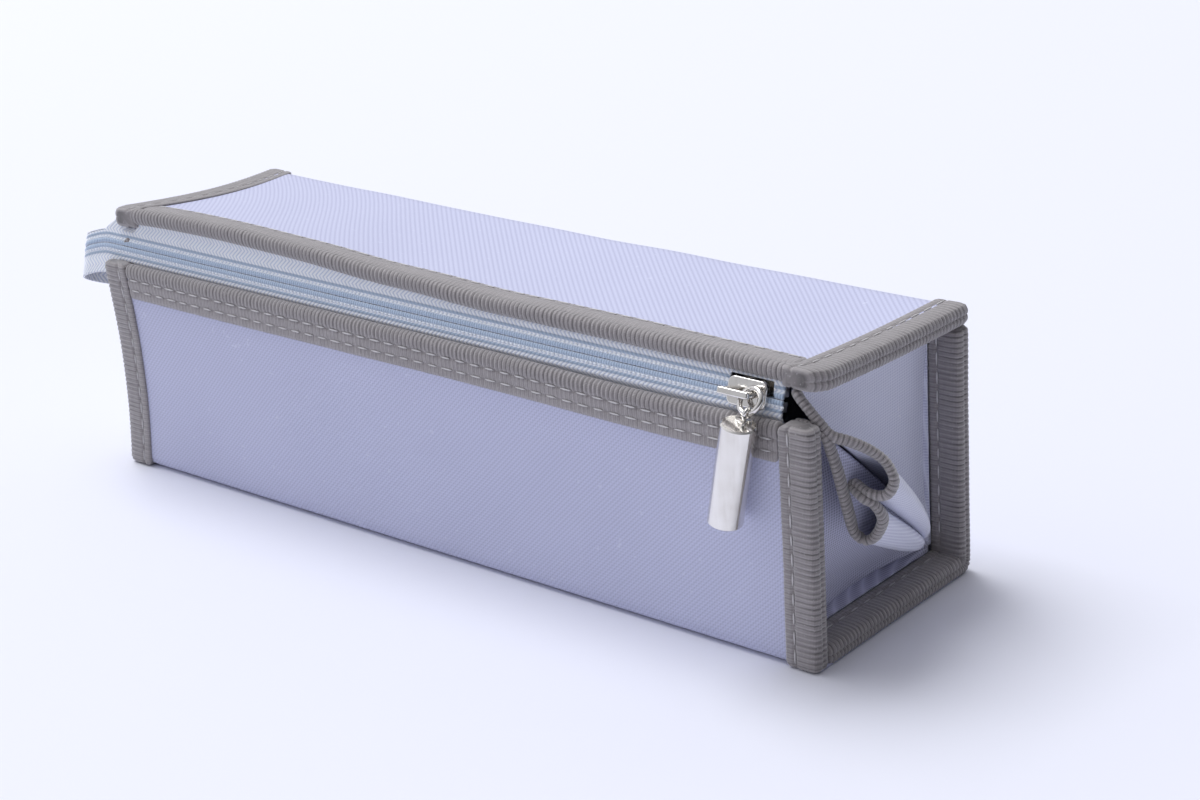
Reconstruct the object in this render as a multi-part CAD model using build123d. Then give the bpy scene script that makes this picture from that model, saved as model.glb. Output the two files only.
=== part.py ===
from build123d import *
import os
from math import asin, atan2, cos, degrees, hypot, radians, sin

# Zippered box pouch, millimetres. The origin is on the floor under the middle of the body:
# +X runs to the closed end of the zipper, -Y is the front, +Z is up.
# The pouch is two stiffened halves, each L-shaped in section. The lower half is the bottom
# and the front, the upper half is the back and the lid, and they fold apart along the
# bottom back edge. Fan gussets close the two ends.

# overall sizes
bag_length = 200.0           # X, over the bound end seams
bag_depth = 55.5             # Y, over the bindings
bag_height = 58.4            # Z, floor to the lid at the back, over the bindings
front_height = 50.6          # floor to the top of the bound front rim
lid_setback = 3.7            # the lid's front rim stands this far behind the front face
lid_rise = 2.2               # the zipper holds the front of the lid this much higher

# layers of a wall, outside to inside
cover_thickness = 0.5
board_thickness = 1.2
lining_thickness = 0.5
binding_thickness = 0.6
fold_radius = 1.5            # outside radius where a cover turns a corner

# bound seams at the two ends
seam_width = 7.5             # how far the bound seams stand out along X
hem_thickness = 2.7          # turned-in edge of the gusset inside a bound seam
gusset_thickness = 0.5
mitre_gap = 0.3              # between the lower and upper seams at the hinge corner

# bound rims along the zipper
rim_depth = 8.0              # how far a rim binding reaches over its panel
stitch_clearance = 0.3       # between things that are sewn side by side
board_margin = 2.0           # boards stop this far short of the rims and the gussets

# zipper
chain_y = -24.05             # middle of the chain, in section
chain_rise = 0.35            # above the middle of the gap between the front rim and the lid
chain_lean = 17.0            # degrees that the chain leans back from upright
tape_thickness = 0.5
tape_reach = 3.05            # half width of the flat part of the two tapes
tape_hem = 6.0               # how far each tape is sewn in behind its rim
post_gap = 0.5               # each tape stops this far from the middle of the chain
coil_width = 1.9
coil_height = 1.4
tail_reach = 14.0            # the zipper's tail runs this far past the end seams
tail_clearance = 0.2         # under the lid's seam
tail_fold = 3.0
stop_length = 2.0

# slider, measured from the middle of the chain
slider_length = 9.0
slider_half_width = 2.8
slider_plate = 1.0
slider_corner = 1.5          # radius of the plates' corners
slider_edge = 0.3            # rounding of the plates' outer edges
slider_gap = 0.25            # between the slider and what it runs on
slider_rest_x = 84.0
slider_travel = 170.0
bridge_rise = 2.8            # clear height under the bridge
bridge_bar = 0.9
bridge_length = 6.4
leg_radius = 0.7
leg_x = 86.2                 # the bridge leg that the ring hangs on

# pull: a ring and a cylinder that hangs from it
ring_radius = 2.5
ring_wire = 0.55
ring_lean = 38.0             # degrees the ring stands out from upright
ring_swing = 15.0            # degrees the ring hangs towards +X
ring_clearance = 0.15
eye_radius = 1.15
eye_wire = 0.35
pendant_radius = 3.5
pendant_length = 21.5
pendant_lean = 11.5          # degrees the pendant hangs towards -X
pendant_stand = 0.35         # clear of the front face
pendant_chamfer = 0.3
stem_radius = 0.6
stem_depth = 1.7             # of the eye's stem, inside the pendant

# gusset folds: the spare cloth of an end stands out as two flattened cones
fold_wall = 0.6
fold_binding_width = 2.5
fold_start = 9.0             # distance from the hinge corner to the narrow end of a fold
fold_shares = (0.12, 0.62, 1.0)      # of a fold's size at its start, its middle and its free edge
lid_fold_gap = 8.2           # middle of the free edge, behind the front seam
lid_fold_down = 8.2          # and below the top
lid_fold_out = 8.0           # half of how far the fold stands out
lid_fold_half = 4.2          # half of its height
front_fold_gap = 5.0
front_fold_down = 24.9
front_fold_out = 7.5
front_fold_half = 4.4

# cutting shapes reach this far past what they cut
overcut = 1.0

# worked out from the sizes above
half_length = bag_length / 2
half_depth = bag_depth / 2
seam_x = half_length - seam_width
seam_thickness = 2 * binding_thickness + cover_thickness + hem_thickness
wall = cover_thickness + board_thickness + lining_thickness
rim_thickness = wall + 2 * binding_thickness
rim_roll = rim_thickness / 2
cover_front = -half_depth + binding_thickness
cover_back = half_depth - binding_thickness
cover_low = 0.0
seam_low = binding_thickness
cover_high = bag_height - binding_thickness
lid_front = -half_depth + lid_setback
fold_y = cover_back - fold_radius
fold_z = cover_high - fold_radius
lid_tilt = degrees(asin(lid_rise / (fold_y - lid_front)))
lid_under = bag_height + lid_rise - seam_thickness
chain_z = (front_height + lid_under) / 2 + chain_rise
lid_fold_back = seam_thickness + lid_fold_gap
front_fold_back = seam_thickness + front_fold_gap
board_x = seam_x - gusset_thickness - board_margin
rim_x = seam_x - gusset_thickness - stitch_clearance
tab_x = half_length - binding_thickness

lean = radians(chain_lean)
up_y, up_z = sin(lean), cos(lean)
out_y, out_z = -cos(lean), sin(lean)
tail_width = (lid_under - chain_z - tail_clearance) / up_z


def save(name, shape):
    shape.label = name
    export_step(shape, f"parts/{name}.step")


def block(x0, x1, y0, y1, z0, z1):
    middle = Pos((x0 + x1) / 2, (y0 + y1) / 2, (z0 + z1) / 2)
    return middle * Box(abs(x1 - x0), abs(y1 - y0), abs(z1 - z0))


def prism(points, x0, x1):
    """A bar along X whose section is a polygon of (y, z) points."""
    face = make_face(Polyline(*points, close=True))
    return extrude(Plane.YZ.offset(x0) * face, amount=x1 - x0)


def strip(points, thickness, x0, x1):
    """A bent sheet along X, its section a line of (y, z) points with a thickness."""
    half = thickness / 2
    left, right = [], []
    for i, (y, z) in enumerate(points):
        before = points[max(i - 1, 0)]
        after = points[min(i + 1, len(points) - 1)]
        angle_in = atan2(z - before[1], y - before[0]) if i else None
        angle_out = atan2(after[1] - z, after[0] - y) if i < len(points) - 1 else angle_in
        angle_in = angle_out if angle_in is None else angle_in
        turn = angle_out - angle_in
        middle = angle_in + turn / 2
        reach = half / cos(turn / 2)
        left.append((y - sin(middle) * reach, z + cos(middle) * reach))
        right.append((y + sin(middle) * reach, z - cos(middle) * reach))
    return prism(left + right[::-1], x0, x1)


def quarter(centre_y, centre_z, start, sweep, outer, thickness, x0, x1):
    """A sheet that turns a corner: an arc in section, swept along X."""
    tube = Cylinder(outer, x1 - x0) - Cylinder(outer - thickness, x1 - x0)
    tube = Pos((x0 + x1) / 2, centre_y, centre_z) * Rot(0, 90, 0) * tube
    corner = [(centre_y, centre_z)]
    for share, reach in ((0, 2 * outer), (0.5, 3 * outer), (1, 2 * outer)):
        angle = radians(start + sweep * share)
        corner.append((centre_y + reach * cos(angle), centre_z + reach * sin(angle)))
    return tube & prism(corner, x0, x1)


def chain_point(up, out=0.0):
    """A point of the chain's section: up along the tapes, out from the pouch."""
    return (chain_y + up_y * up + out_y * out, chain_z + up_z * up + out_z * out)


def chain_block(x0, x1, up0, up1, out0, out1):
    corners = [(up0, out0), (up1, out0), (up1, out1), (up0, out1)]
    return prism([chain_point(u, o) for u, o in corners], x0, x1)


def lidded(shape):
    """Lid pieces are drawn level, then tipped up about the top back fold."""
    return shape.rotate(Axis((0, fold_y, fold_z), (1, 0, 0)), -lid_tilt)


def pair(name, shape):
    """A piece at the +X end and its mirror image at the -X end."""
    save(f"right_{name}", shape)
    save(f"left_{name}", mirror(shape, about=Plane.YZ))


def lower_panels():
    """Bottom and front: cover, board and lining of each."""
    corner_y = cover_front + fold_radius
    corner_z = cover_low + fold_radius
    rim_top = front_height - rim_roll
    fold = quarter(corner_y, corner_z, 180, 90, fold_radius, cover_thickness, -seam_x, seam_x)
    upright = block(-tab_x, tab_x, cover_front, cover_front + cover_thickness, corner_z, rim_top)
    save("front_cover", upright + fold)
    inner = cover_low + cover_thickness
    bottom_cover = block(-seam_x, seam_x, corner_y, fold_y, cover_low, inner)
    tab = (-half_depth + seam_thickness, fold_y - seam_thickness)
    for side in (-1, 1):
        step_x = side * (seam_x - gusset_thickness)
        bottom_cover += block(step_x, side * seam_x, *tab, cover_low, seam_low + cover_thickness)
        bottom_cover += block(step_x, side * tab_x, *tab, seam_low, seam_low + cover_thickness)
    save("bottom_cover", bottom_cover)
    face = cover_front + cover_thickness
    save("front_board", block(-board_x, board_x, face, face + board_thickness,
                              corner_z + board_margin, rim_top))
    save("bottom_board", block(-board_x, board_x, corner_y + board_margin, fold_y - board_margin,
                               inner, inner + board_thickness))
    back = face + board_thickness
    top = inner + board_thickness
    lining_x = seam_x - gusset_thickness
    save("front_lining", block(-lining_x, lining_x, back, back + lining_thickness,
                               top + lining_thickness, rim_top))
    save("bottom_lining", block(-lining_x, lining_x, back, cover_back - wall,
                                top, top + lining_thickness))


def upper_panels():
    """Back and lid: cover, board and lining of each."""
    low = cover_low + fold_radius
    inner = cover_back - cover_thickness
    under = cover_high - cover_thickness
    rim_end = lid_front + rim_roll
    tab_top = bag_height - seam_thickness - stitch_clearance
    save("back_cover", block(-tab_x, tab_x, inner, cover_back, low + seam_thickness, tab_top)
         + block(-seam_x, seam_x, inner, cover_back, low, fold_z))
    fold = quarter(fold_y, fold_z, 0, 90 - lid_tilt, fold_radius, cover_thickness, -seam_x, seam_x)
    lid_cover = lidded(block(-tab_x, tab_x, rim_end, fold_y, under, cover_high))
    save("lid_cover", lid_cover + fold)
    save("back_board", block(-board_x, board_x, inner - board_thickness, inner,
                             low + board_margin, fold_z - board_margin))
    save("lid_board", lidded(block(-board_x, board_x, rim_end, fold_y - board_margin,
                                   under - board_thickness, under)))
    lining_x = seam_x - gusset_thickness
    back = inner - board_thickness
    roof = under - board_thickness
    save("back_lining", block(-lining_x, lining_x, back - lining_thickness, back,
                              cover_low + wall + mitre_gap, roof - lining_thickness))
    save("lid_lining", lidded(block(-lining_x, lining_x, rim_end, back - lining_thickness,
                                    roof - lining_thickness, roof)))


def hinge_strips():
    """The cover and the lining bend here when the pouch opens."""
    low = cover_low + fold_radius
    save("hinge_cover", quarter(fold_y, low, -90, 90, fold_radius, cover_thickness,
                                -seam_x, seam_x))
    inner_y = cover_back - wall
    inner_z = cover_low + wall
    lining_x = seam_x - gusset_thickness
    save("hinge_lining", block(-lining_x, lining_x, inner_y, inner_y + lining_thickness,
                               inner_z - lining_thickness, inner_z + mitre_gap))


def rim_section(base, x0, x1):
    """A rim binding drawn over an upright edge: a U with a round top, from base upwards."""
    width = rim_thickness
    outer = block(x0, x1, 0, width, base, base + rim_depth - rim_roll)
    roll = Pos((x0 + x1) / 2, rim_roll, base + rim_depth - rim_roll) * Rot(0, 90, 0)
    outer = outer + roll * Cylinder(rim_roll, x1 - x0)
    slot = block(x0, x1, binding_thickness, binding_thickness + wall, base,
                 base + rim_depth - rim_roll)
    return outer - slot


def rims():
    rim = rim_section(front_height - rim_depth, -rim_x, rim_x)
    save("front_rim_binding", Pos(0, -half_depth, 0) * rim)
    lying = rim_section(0, -rim_x, rim_x).rotate(Axis.X, 90)
    place = Pos(0, lid_front + rim_depth, bag_height - rim_thickness)
    save("lid_rim_binding", lidded(place * lying))


def end_seams():
    """U-shaped bindings over the seams at the ends, with the mitre at the hinge corner."""
    hem = binding_thickness + cover_thickness + hem_thickness

    def channel(y0, y1, z0, z1, slot):
        return block(seam_x, half_length, y0, y1, z0, z1) - block(seam_x, tab_x, *slot)

    front_in = -half_depth + seam_thickness
    back_in = half_depth - seam_thickness
    upright = (-half_depth + binding_thickness, -half_depth + hem, 0, front_height - binding_thickness)
    pair("front_seam_binding", channel(-half_depth, front_in, 0, front_height, upright))

    lying = (front_in, half_depth, binding_thickness, hem)
    bottom = channel(front_in, half_depth, 0, seam_thickness, lying)
    cut = mitre_gap / 2
    x0 = seam_x - overcut
    x1 = half_length + overcut
    below = [(front_in - overcut, -overcut), (half_depth - cut, -overcut), (half_depth - cut, 0),
             (back_in - cut, seam_thickness), (back_in - cut, seam_thickness + overcut),
             (front_in - overcut, seam_thickness + overcut)]
    pair("bottom_seam_binding", bottom & prism(below, x0, x1))

    rising = (half_depth - hem, half_depth - binding_thickness, 0, bag_height)
    back_top = bag_height - seam_thickness - stitch_clearance
    back = channel(back_in, half_depth, 0, back_top, rising)
    above = [(half_depth + overcut, cut), (half_depth, cut), (back_in, seam_thickness + cut),
             (back_in - overcut, seam_thickness + cut), (back_in - overcut, bag_height),
             (half_depth + overcut, bag_height)]
    pair("back_seam_binding", back & prism(above, x0, x1))

    top = (lid_front + binding_thickness, half_depth, bag_height - hem,
           bag_height - binding_thickness)
    lid = channel(lid_front, half_depth, bag_height - seam_thickness, bag_height, top)
    pair("lid_seam_binding", lidded(lid))


def gussets():
    """The flat parts of the fan gussets, with their hems inside the bound seams."""
    x0 = seam_x - gusset_thickness
    hem_y = cover_front + cover_thickness
    hem_z = seam_low + cover_thickness
    hem_back = cover_back - cover_thickness
    hem_roof = cover_high - cover_thickness
    keep = seam_thickness
    top = front_height - 2 * binding_thickness

    corner = [(hem_y, cover_low + fold_radius), (hem_y, top), (fold_y - keep, hem_z),
              (cover_front + fold_radius, hem_z)]
    lower = prism(corner, x0, seam_x)
    lower += block(x0, tab_x, hem_y, hem_y + hem_thickness, 2 * keep, top)
    lower += block(x0, tab_x, -half_depth + keep, fold_y - keep - hem_thickness,
                   hem_z, hem_z + hem_thickness)
    pair("gusset_lower", lower)

    lid_edge = lid_front + 2 * binding_thickness
    hem = lidded(block(x0, tab_x, lid_edge, hem_back - keep, hem_roof - hem_thickness, hem_roof))
    tip = hem.bounding_box().max.Z - hem_thickness
    upper = prism([(lid_edge, tip), (hem_back, hem_roof - hem_thickness),
                   (hem_back, hem_z + keep)], x0, seam_x)
    upper += block(x0, tab_x, hem_back - hem_thickness, hem_back, 2 * keep,
                   bag_height - keep - stitch_clearance)
    pair("gusset_upper", upper + hem)


def fold_cone(back, down, half_out, half_high, wall_off=0.0):
    """One gusset fold, a flattened cone from the hinge corner to its free edge."""
    run = bag_depth - back
    rise = bag_height - down
    reach = hypot(run, rise)
    along = (0, -run / reach, rise / reach)
    start = fold_start + wall_off
    end = reach + wall_off
    sections = []
    for r, share in zip((start, (start + end) / 2, end), fold_shares):
        middle_x = seam_x + stitch_clearance + half_out * share
        origin = (middle_x, half_depth + along[1] * r, along[2] * r)
        across = max(half_out * share - wall_off, stitch_clearance)
        high = max(half_high * share - wall_off, stitch_clearance / 2)
        plane = Plane(origin, x_dir=(1, 0, 0), z_dir=along)
        sections.append(plane * Ellipse(across, high))
    return loft(sections), plane


def gusset_folds():
    """Spare cloth of each gusset: two hollow folds, each with a bound free edge."""
    folds = (
        ("lid", lid_fold_back, lid_fold_down, lid_fold_out, lid_fold_half),
        ("front", front_fold_back, front_fold_down, front_fold_out, front_fold_half),
    )
    rolled = fold_wall + binding_thickness
    for side, back, down, half_out, half_high in folds:
        outer, edge = fold_cone(back, down, half_out, half_high)
        inner, _ = fold_cone(back, down, half_out, half_high, fold_wall)
        pair(f"{side}_gusset_fold", outer - inner)
        ring = Ellipse(half_out, half_high) - Ellipse(half_out - rolled, half_high - rolled)
        pair(f"{side}_fold_binding", extrude(edge * ring, amount=fold_binding_width))


def zipper():
    """Two tapes, their coils, the stops and the folded tails."""
    slider_left = slider_rest_x - slider_length / 2 - slider_gap
    slider_right = slider_rest_x + slider_length / 2 + 2 * slider_gap
    tape_back = -half_depth + rim_thickness + tape_thickness / 2
    low = [(tape_back, front_height - tape_hem), (tape_back, front_height - stitch_clearance),
           chain_point(-tape_reach), chain_point(-post_gap)]
    save("front_zip_tape", strip(low, tape_thickness, -rim_x, rim_x))

    rim_under = bag_height - rim_thickness - tape_thickness / 2
    sewn = [(lid_front + rim_roll, rim_under), (lid_front + rim_roll + tape_hem, rim_under)]
    tilt = radians(lid_tilt)
    tipped = [
        (fold_y + (y - fold_y) * cos(tilt) + (z - fold_z) * sin(tilt),
         fold_z - (y - fold_y) * sin(tilt) + (z - fold_z) * cos(tilt))
        for y, z in sewn
    ]
    high = [chain_point(post_gap), chain_point(tape_reach)] + tipped
    tape = strip(high, tape_thickness, -rim_x, slider_left)
    tape += strip(tipped, tape_thickness, -rim_x, rim_x)
    tape += strip(high, tape_thickness, slider_right, rim_x)
    save("lid_zip_tape", tape)

    under = -tape_thickness / 2
    stop_x = slider_rest_x + slider_length / 2 + 4 * slider_gap
    coil_end = stop_x - slider_gap
    for side, sign, reach in (("front", -1, coil_end), ("lid", 1, slider_left)):
        near, far = sorted((sign * post_gap, sign * (post_gap + coil_width)))
        save(f"{side}_zip_coil", chain_block(-rim_x + stop_length, reach, near, far,
                                             under - coil_height, under))
        stop = chain_block(stop_x, stop_x + stop_length, near, far, under - coil_height, under)
        save(f"{side}_zip_top_stop", stop)
        tail_near, tail_far = sorted((sign * mitre_gap / 2, sign * tail_width))
        end = -half_length - tail_reach
        half = tape_thickness / 2
        tail = chain_block(end, -rim_x, tail_near, tail_far, -half, half)
        tail += chain_block(end, end + tape_thickness, tail_near, tail_far, -tail_fold, -half)
        tail += chain_block(end, -half_length - stitch_clearance, tail_near, tail_far,
                            -tail_fold - tape_thickness, -tail_fold)
        save(f"{side}_zip_tail", tail)
    save("zip_bottom_stop", chain_block(-rim_x, -rim_x + stop_length - stitch_clearance,
                                        -post_gap - coil_width, -post_gap,
                                        under - coil_height, under))


def slider():
    x0 = slider_rest_x - slider_length / 2
    x1 = slider_rest_x + slider_length / 2
    wide = slider_half_width
    top = tape_thickness / 2 + slider_gap
    floor = -tape_thickness / 2 - coil_height - slider_gap
    cheek = post_gap + coil_width + slider_gap
    chain = Plane((slider_rest_x, chain_y, chain_z), x_dir=(1, 0, 0), z_dir=(0, out_y, out_z))
    plate = extrude(RectangleRounded(slider_length, 2 * wide, slider_corner), amount=slider_plate)
    plate = fillet(plate.faces().sort_by(Axis.Z)[-1].edges(), slider_edge)
    body = chain * (Pos(0, 0, top) * plate)
    body += chain * (Pos(0, 0, floor) * Rot(180, 0, 0) * plate)
    slot = -tape_thickness / 2 - slider_gap
    body += chain_block(x0 + slider_corner, x1 - slider_corner, cheek, wide, floor, slot)
    body += chain_block(x0 + slider_corner, x1 - slider_corner, -wide, -cheek, floor, slot)
    post = post_gap - slider_gap
    body += chain_block(x1 - slider_plate, x1, -post, post, floor, top)
    save("slider_body", body)

    roof = top + slider_plate + bridge_rise
    bar = chain_block(leg_x - bridge_length, leg_x + leg_radius, -leg_radius, leg_radius,
                      roof, roof + bridge_bar)
    bar = fillet(bar.edges(), slider_edge)
    for x in (leg_x - bridge_length + leg_radius, leg_x):
        y, z = chain_point(0, top + slider_plate + bridge_rise / 2)
        leg = Cylinder(leg_radius, bridge_rise)
        bar += Plane((x, y, z), x_dir=(1, 0, 0), z_dir=(0, out_y, out_z)) * leg
    save("slider_bridge", bar)


def pull():
    """Ring round the bridge leg, and the pendant with its eye on the ring."""
    out = tape_thickness / 2 + slider_gap + slider_plate + bridge_rise / 2
    y, z = chain_point(0, out)
    tip = radians(ring_lean)
    top_reach = leg_radius + ring_clearance + ring_wire
    drop = ring_radius - top_reach
    centre = (leg_x, y - drop * sin(tip), z - drop * cos(tip))
    face = Plane(centre, x_dir=(1, 0, 0), z_dir=(0, -cos(tip), sin(tip)))
    ring = face * Torus(ring_radius, ring_wire)
    swing = Axis((leg_x, y, z), (0, -1, 0))
    save("pull_ring", ring.rotate(swing, ring_swing))

    bottom = ring_radius * 2 - top_reach
    eye_y = y - bottom * sin(tip)
    eye_z = z - bottom * cos(tip) * cos(radians(ring_swing))
    eye_x = leg_x + bottom * cos(tip) * sin(radians(ring_swing))
    loop_z = eye_z - (eye_radius - eye_wire - ring_wire - ring_clearance)
    top_z = loop_z - eye_radius
    loop = Pos(eye_x, eye_y, loop_z) * Rot(0, 90, 0) * Torus(eye_radius, eye_wire)
    sunk = Pos(eye_x, eye_y, top_z - stem_depth / 2)
    stem = sunk * Cylinder(stem_radius, stem_depth)
    loop -= sunk * Box(2 * pendant_radius, 2 * pendant_radius, stem_depth)
    axis_y = -half_depth - pendant_stand - pendant_radius
    middle = Pos(eye_x, axis_y, top_z - pendant_length / 2)
    body = middle * Cylinder(pendant_radius, pendant_length)
    body = chamfer(body.edges(), length=pendant_chamfer) - stem
    hang = Axis((eye_x, eye_y, eye_z), (0, -1, 0))
    save("pendant_eye", (loop + stem).rotate(hang, -pendant_lean))
    save("pendant_body", body.rotate(hang, -pendant_lean))
    print("lid hinge at y, z", half_depth, 0)
    print("ring pivot", leg_x, round(y, 3), round(z, 3))
    print("pendant pivot", round(eye_x, 3), round(eye_y, 3), round(eye_z, 3))


os.makedirs("parts", exist_ok=True)
lower_panels()
upper_panels()
hinge_strips()
rims()
end_seams()
gussets()
gusset_folds()
zipper()
slider()
pull()
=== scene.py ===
import math

import bpy
import numpy as np
from mathutils import Matrix, Vector


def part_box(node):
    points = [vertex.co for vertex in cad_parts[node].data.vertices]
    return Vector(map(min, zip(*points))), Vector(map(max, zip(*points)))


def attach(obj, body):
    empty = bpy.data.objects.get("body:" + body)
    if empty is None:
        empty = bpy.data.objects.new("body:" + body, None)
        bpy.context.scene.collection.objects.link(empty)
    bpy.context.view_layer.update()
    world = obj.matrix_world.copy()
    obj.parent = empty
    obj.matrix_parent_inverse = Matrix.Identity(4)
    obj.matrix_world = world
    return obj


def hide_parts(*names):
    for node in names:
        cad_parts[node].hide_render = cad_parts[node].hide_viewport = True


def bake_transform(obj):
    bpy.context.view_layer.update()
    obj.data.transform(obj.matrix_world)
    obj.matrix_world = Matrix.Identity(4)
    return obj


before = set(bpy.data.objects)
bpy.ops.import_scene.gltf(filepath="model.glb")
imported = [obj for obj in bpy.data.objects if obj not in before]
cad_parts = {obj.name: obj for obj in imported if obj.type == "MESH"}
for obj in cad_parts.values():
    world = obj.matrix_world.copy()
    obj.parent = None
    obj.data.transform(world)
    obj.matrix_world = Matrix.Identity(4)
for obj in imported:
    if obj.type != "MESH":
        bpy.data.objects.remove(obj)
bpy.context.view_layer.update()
print("frame loaded:", len(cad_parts), "nodes")

mm = 0.001
scene = bpy.context.scene


def corners(node):  # a node's box, in mm
    low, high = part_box(node)
    return np.array(low) / mm, np.array(high) / mm


frontSeamLow, frontSeamHigh = corners("right_front_seam_binding")
backSeamHigh, frontRimHigh, lidRimHigh = (
    corners(node)[1] for node in ("right_back_seam_binding", "front_rim_binding", "lid_rim_binding"))
thick = frontSeamHigh[1] - frontSeamLow[1]  # of a bound seam

body = {  # the pouch in mm, read off the frame
    "seamX": frontSeamLow[0], "endX": frontSeamHigh[0], "rimX": frontRimHigh[0],
    "frontY": frontSeamLow[1], "backY": backSeamHigh[1], "frontTop": frontRimHigh[2],
    "lidFrontY": corners("right_lid_seam_binding")[0][1], "lidFrontZ": lidRimHigh[2],
    "lidBackZ": backSeamHigh[2] + thick + 0.3,
}
lidTilt = math.asin((body["lidFrontZ"] - body["lidBackZ"]) / (body["backY"] - body["lidFrontY"]))

sagging = {  # how far the soft pouch strays from its straight lines, in mm
    "lidArch": 2.9, "lidArchAt": -68.0, "lidArchWide": 52.0, "lidEven": 0.6,
    "lidBackDip": 0.5, "lidMiddleDip": 0.7,
    "rimDip": 0.8, "rimDipAt": 60.0, "rimDipWide": 30.0,
    "frontHollow": 0.7,
    "leftLidPull": 4.0, "leftFrontPull": 2.0, "rightLidPull": 0.8, "rightLidDip": 0.9,
    "buckle": 0.14,
}


def ease(t):
    t = np.clip(t, 0, 1)
    return t * t * (3 - 2 * t)


def lidLift(x):
    hump = np.exp(-((x - sagging["lidArchAt"]) / sagging["lidArchWide"]) ** 2)
    return sagging["lidArch"] * hump + sagging["lidEven"] * (1 - (x / body["endX"]) ** 4)


def buckles(p):  # shallow waves that a soft panel always has
    x, y, z = p[..., 0], p[..., 1], p[..., 2]
    slow = np.sin(x / 9.1 + 1.3 * np.sin(y / 11.0) + z / 17.0) * np.sin(x / 23.0 + 0.7)
    fine = np.sin(x / 4.7 - z / 6.1 + 2.1) * np.sin((y + z) / 8.3)
    return sagging["buckle"] * (slow + 0.45 * fine)


def endPull(p, lidShare, lidness, uprightness):
    x, z = p[..., 0], p[..., 2]
    left = ease((-x - 35) / 60)
    right = ease((x - 45) / 50)
    bow = np.sin(np.pi * np.clip(lidShare, 0, 1))
    rise = np.sin(np.pi * np.clip(z / body["frontTop"], 0, 1))
    dx = left * (sagging["leftLidPull"] * lidness * bow + sagging["leftFrontPull"] * uprightness * rise)
    dx = dx - right * sagging["rightLidPull"] * lidness * bow
    dz = -right * sagging["rightLidDip"] * lidness * bow
    return dx, dz


def sagUpper(p):  # lid and back
    p = np.array(p, float)
    x, y, z = p[..., 0], p[..., 1], p[..., 2]
    share = np.clip((y - body["lidFrontY"]) / (body["backY"] - body["lidFrontY"]), 0, 1)
    height = np.clip(z / body["lidBackZ"], 0, 1)
    even = 1 - (x / body["endX"]) ** 2
    lidness = ease((z - 40) / 16)
    rise = lidLift(x) * (1 - share) ** 1.2 - sagging["lidMiddleDip"] * even * np.sin(np.pi * share)
    rise = rise - sagging["lidBackDip"] * even * share
    dx, dz = endPull(p, share, lidness, 0.0)
    out = p.copy()
    out[..., 0] += dx
    out[..., 1] += (1 - lidness) * (0.5 * even * np.sin(np.pi * height) + buckles(p) * share * ease(z / 10))
    out[..., 2] += rise * height ** 2 + dz + buckles(p) * lidness * even
    return out


def sagLower(p):  # front and bottom
    p = np.array(p, float)
    x, y, z = p[..., 0], p[..., 1], p[..., 2]
    share = np.clip((y - body["frontY"]) / (body["backY"] - body["frontY"]), 0, 1)
    frontness = (1 - share) ** 3
    height = np.clip(z / body["frontTop"], 0, 1)
    even = 1 - (x / body["endX"]) ** 2
    dip = np.exp(-((x - sagging["rimDipAt"]) / sagging["rimDipWide"]) ** 2)
    dx, _ = endPull(p, share, 0.0, frontness)
    out = p.copy()
    out[..., 0] += dx
    out[..., 1] += (sagging["frontHollow"] * even * (0.6 + 0.4 * np.sin(x / 31.0)) + buckles(p)) \
        * np.sin(np.pi * height) * frontness
    out[..., 2] -= sagging["rimDip"] * dip * height ** 2 * frontness
    return out


def lidPoint(x, inward, up):  # a place on the tipped lid: inward from its front edge, up from its top
    y = body["lidFrontY"] + inward * math.cos(lidTilt) + up * math.sin(lidTilt)
    z = body["lidFrontZ"] - inward * math.sin(lidTilt) + up * math.cos(lidTilt)
    return np.stack(np.broadcast_arrays(x, y, z), -1).astype(float)


# meshes

def addObject(name, data):
    piece = bpy.data.objects.new(name, data)
    scene.collection.objects.link(piece)
    return piece


def newMesh(name, points, faces, uv, values):
    mesh = bpy.data.meshes.new(name)
    mesh.from_pydata((np.asarray(points, float) * mm).tolist(), [], faceOut(points, faces))
    mesh.polygons.foreach_set("use_smooth", [True] * len(mesh.polygons))
    layer = mesh.uv_layers.new(name="cloth")
    loops = np.zeros(len(mesh.loops), np.int32)
    mesh.loops.foreach_get("vertex_index", loops)
    layer.data.foreach_set("uv", np.asarray(uv, float)[loops].ravel())
    for key, value in values.items():
        attribute = mesh.attributes.new(key, "FLOAT", "POINT")
        attribute.data.foreach_set("value", np.asarray(value, np.float32).ravel())
    mesh.update()
    return addObject(name, mesh)


def gridFaces(rows, columns, start=0, flip=False, wrap=False):
    faces = []
    for i in range(rows - 1):
        for j in range(columns if wrap else columns - 1):
            k = (j + 1) % columns
            a, b = start + i * columns + j, start + i * columns + k
            c, d = b + columns, a + columns
            faces.append((a, d, c, b) if flip else (a, b, c, d))
    return faces


def faceOut(points, faces):  # turns a closed mesh right way out
    pts = np.asarray(points, float)
    a, b, c, d = pts[np.array([face for face in faces if len(face) == 4])].transpose(1, 0, 2)
    total = (a * (np.cross(b, c) + np.cross(c, d))).sum()
    for face in faces:
        if len(face) > 4:
            fan = pts[list(face)]
            total += (fan[0] * np.cross(fan[1:-1], fan[2:])).sum()
    return faces if total > 0 else [tuple(reversed(f)) for f in faces]


def unit(vectors):
    return vectors / np.maximum(np.linalg.norm(vectors, axis=-1, keepdims=True), 1e-9)


def arcLengths(line):
    steps = np.linalg.norm(np.diff(np.asarray(line, float), axis=0), axis=1)
    return np.concatenate([[0.0], np.cumsum(steps)])


def resample(line, length, wanted):
    return np.stack([np.interp(wanted, length, column) for column in line.T], -1)


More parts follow.
